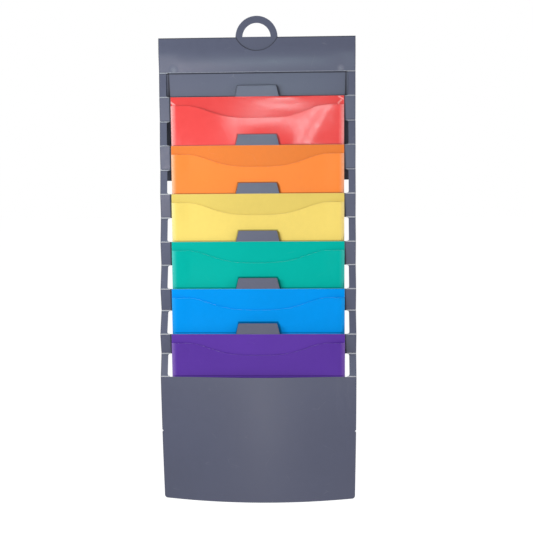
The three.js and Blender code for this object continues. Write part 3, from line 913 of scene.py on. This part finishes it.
def back_shift(top, swell, peak, gone):
    """The back sheet swells forward near its top edge and again lower down, right of the middle."""
    def shift(point):
        drop = top - point.z
        across = smooth_step(point.x, *SWELL_LEFT) * (1 - smooth_step(point.x, *SWELL_RIGHT))
        down = (2 * smooth_step(drop, -peak, peak) - 1) * (1 - smooth_step(drop, peak, gone))
        down += smooth_step(drop, *SWELL_AGAIN)
        return Vector((0, -swell * across * down, 0))
    return shift


def red_hollows(across, drop):
    """How far the red front stands back at this place."""
    step_line = across - (STEP_TOP - STEP_SLANT * drop)
    lip = between(LIP_LEVELS, smooth_step(abs(across), 0.0, LIP_HALF))
    under_lip = LIP_HOLLOW * math.exp(-((drop - lip - LIP_HOLLOW_BELOW) / LIP_HOLLOW_REACH) ** 2)
    sink = under_lip * (1 - smooth_step(abs(across - LIP_HOLLOW_MIDDLE), *LIP_HOLLOW_HALF))
    sink += SLOPE * (min(drop, SLOPE_END) - SLOPE_START) * smooth_step(across, *SLOPE_ACROSS)
    sink += STEP_DEPTH * smooth_step(step_line, *STEP_FALL) * (1 - smooth_step(step_line, *STEP_RISE))
    return max(0.0, sink)


def front_shift(top, front_face, lip_sink, hollows, valleys):
    """Rounds the side folds, and sinks the front sheet towards the back sheet in its middle and valleys."""
    def shift(point):
        inward = POCKET_HALF - abs(point.x)
        drop = top - point.z
        hollow = hollows(point.x, drop) if hollows else 0.0
        if inward < FOLD_BAND and drop < SINK_FADE[1]:
            inward = max(0.0, inward)
            return Vector((0, inward / FOLD_BAND * hollow - round_fold(inward), 0))
        if inward < FOLD_BAND or point.y > front_face + FRONT_FACE_DEPTH:
            return Vector((0, 0, 0))
        sink = lip_sink * (1 - smooth_step(drop, *SINK_FADE))
        fade = 1 - smooth_step(drop, *VALLEY_FADE)
        for across, slant, width, depth in valleys:
            middle = across - slant * drop
            sink += fade * depth * math.exp(-((point.x - middle) / width) ** 2)
        eased = 1 - smooth_step(abs(point.x), FLAT_HALF - SINK_SIDE, FLAT_HALF)
        return Vector((0, eased * sink + hollow, 0))
    return shift


def next_edge_shadow(level, tab_top, front_face):
    """Painted shadow lines on the front sheet along the next sheet's top edge, and around its tab if it has
    one.
    """
    def painted_shade(point):
        if point.y >= front_face + FRONT_FACE_DEPTH:
            return 0.0
        dark = NEXT_EDGE_SHADOW_SHARE * painted_shade_line(point.z - level - TOP_EDGE_SHADOW_RISE, TOP_EDGE_SHADOW)
        return dark if tab_top is None else max(dark, tab_shadow(point, tab_top))
    return painted_shade


def dress_pocket(number, colour_name):
    """The back sheet and the front sheet of one pocket."""
    body = f"{colour_name}_pocket"
    is_red = colour_name == "red"
    front_materials, back_materials = materials_of_pocket[colour_name]
    front_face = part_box(f"{body}_front")[0].y
    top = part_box(f"{body}_back")[1].z
    next_level = STRIP_FEET[number]
    next_tab = TAB_TOPS[number] if number < len(TAB_TOPS) else None
    tab_cuts = [] if next_tab is None else tab_top_cuts(next_tab)
    dressed(f"{body}_back", f"{body}_back_sheet", body, back_materials,
            shift=back_shift(top, *BACK_SWELL.get(colour_name, NO_SWELL)),
            wear_and_highlight=corner_wear(top) if is_red else None,
            extra_x=CORNER_CUTS, extra_z=[top - down for down in CORNER_STEPS])
    # The front sheet carries the highlight painted on its folded bands.
    dressed(f"{body}_front", f"{body}_front_sheet", body, front_materials,
            shift=front_shift(top, front_face, LIP_SINK.get(colour_name, USUAL_LIP_SINK),
                              red_hollows if is_red else None, VALLEYS[colour_name]),
            wear_and_highlight=fold_band_highlight, painted_shade=next_edge_shadow(next_level, next_tab, front_face),
            extra_x=FOLD_CUTS + TAB_SIDE_CUTS,
            extra_z=around(next_level + TOP_EDGE_SHADOW_RISE, TOP_EDGE_SHADOW, 3) + tab_cuts,
            step=FINE_STEP, rim=POCKET_RIM_WIDTH)


# Stage, lights and camera

def seen_strength(tree, usual, glow):
    """A light's usual strength, and more by the glow where the camera or a reflection sees it."""
    path = tree.add("ShaderNodeLightPath")
    seen = tree.maths("MAXIMUM", path.outputs["Is Camera Ray"], path.outputs["Is Glossy Ray"])
    seen = tree.maths("MAXIMUM", seen, path.outputs["Is Transmission Ray"])
    return tree.maths("ADD", tree.maths("MULTIPLY", seen, glow), usual)


def make_world():
    """Plain light from all sides, on a background that is seen as white."""
    world = bpy.data.worlds.new("plain_light")
    bpy.context.scene.world = world
    tree = Tree(world)
    background = tree.add("ShaderNodeBackground", Color=WHITE,
                          Strength=seen_strength(tree, WORLD_LIGHT, 1 - WORLD_LIGHT))
    tree.add("ShaderNodeOutputWorld", Surface=background.outputs[0])


def floor_material():
    """Pale and matt, with a glow of its own that leaves only the shadow darker than white."""
    material = bpy.data.materials.new("floor_white")
    tree = Tree(material)
    matt = tree.add("ShaderNodeBsdfDiffuse", Color=(FLOOR_SHADE, FLOOR_SHADE, FLOOR_SHADE, 1))
    glow = tree.add("ShaderNodeEmission", Color=WHITE, Strength=seen_strength(tree, 0.0, FLOOR_GLOW))
    both = tree.add("ShaderNodeAddShader")
    tree.put(both.inputs[0], matt.outputs[0])
    tree.put(both.inputs[1], glow.outputs[0])
    tree.add("ShaderNodeOutputMaterial", Surface=both.outputs[0])
    return material


def make_floor():
    corners = ((-FLOOR_HALF, -FLOOR_HALF), (FLOOR_HALF, -FLOOR_HALF), (FLOOR_HALF, FLOOR_HALF),
               (-FLOOR_HALF, FLOOR_HALF))
    height = cad_box[0][2] - FLOOR_DROP
    mesh = bpy.data.meshes.new("floor")
    mesh.from_pydata([(x, y, height) for x, y in corners], [], [(0, 1, 2, 3)])
    floor = bpy.data.objects.new("floor", mesh)
    bpy.context.scene.collection.objects.link(floor)
    mesh.materials.append(floor_material())


def make_light(name, place, aim, power, width, height, colour):
    lamp = bpy.data.lights.new(name, "AREA")
    lamp.shape = "RECTANGLE"
    lamp.size = width
    lamp.size_y = height
    lamp.energy = power
    lamp.color = colour
    holder = bpy.data.objects.new(name, lamp)
    holder.location = place
    holder.rotation_mode = "QUATERNION"
    holder.rotation_quaternion = (Vector(aim) - Vector(place)).to_track_quat("-Z", "Y")
    bpy.context.scene.collection.objects.link(holder)


def turn(angle, axis):
    return Matrix.Rotation(angle, 3, axis)


def make_camera():
    right, ahead, up = turn(CAMERA_ROLL, "Y") @ turn(CAMERA_PITCH, "X") @ turn(CAMERA_YAW, "Z")
    place = (CAMERA_RIGHT, CAMERA_FORWARD, HEADER_TOP - CAMERA_BELOW_HEADER)
    camera_data = bpy.data.cameras.new("camera")
    camera_data.sensor_width = SENSOR_WIDTH
    camera_data.lens = FOCAL_PIXELS / IMAGE_SIZE * SENSOR_WIDTH
    camera = bpy.data.objects.new("camera", camera_data)
    rows = [(right[n], up[n], -ahead[n], place[n]) for n in range(3)]
    camera.matrix_world = Matrix(rows + [(0, 0, 0, 1)])
    bpy.context.scene.collection.objects.link(camera)
    bpy.context.scene.camera = camera
    bpy.context.scene.view_settings.view_transform = "Standard"


dress_cover()
for number in range(1, WINDOWS + 1):
    dress_strips(number)
for number, colour_name in enumerate(COLOURS, 1):
    dress_divider(number, colour_name)
dress_panel()
dress_hanger()
for number, colour_name in enumerate(COLOURS, 1):
    dress_pocket(number, colour_name)
make_world()
make_floor()
for light in LIGHTS:
    make_light(*light)
make_camera()
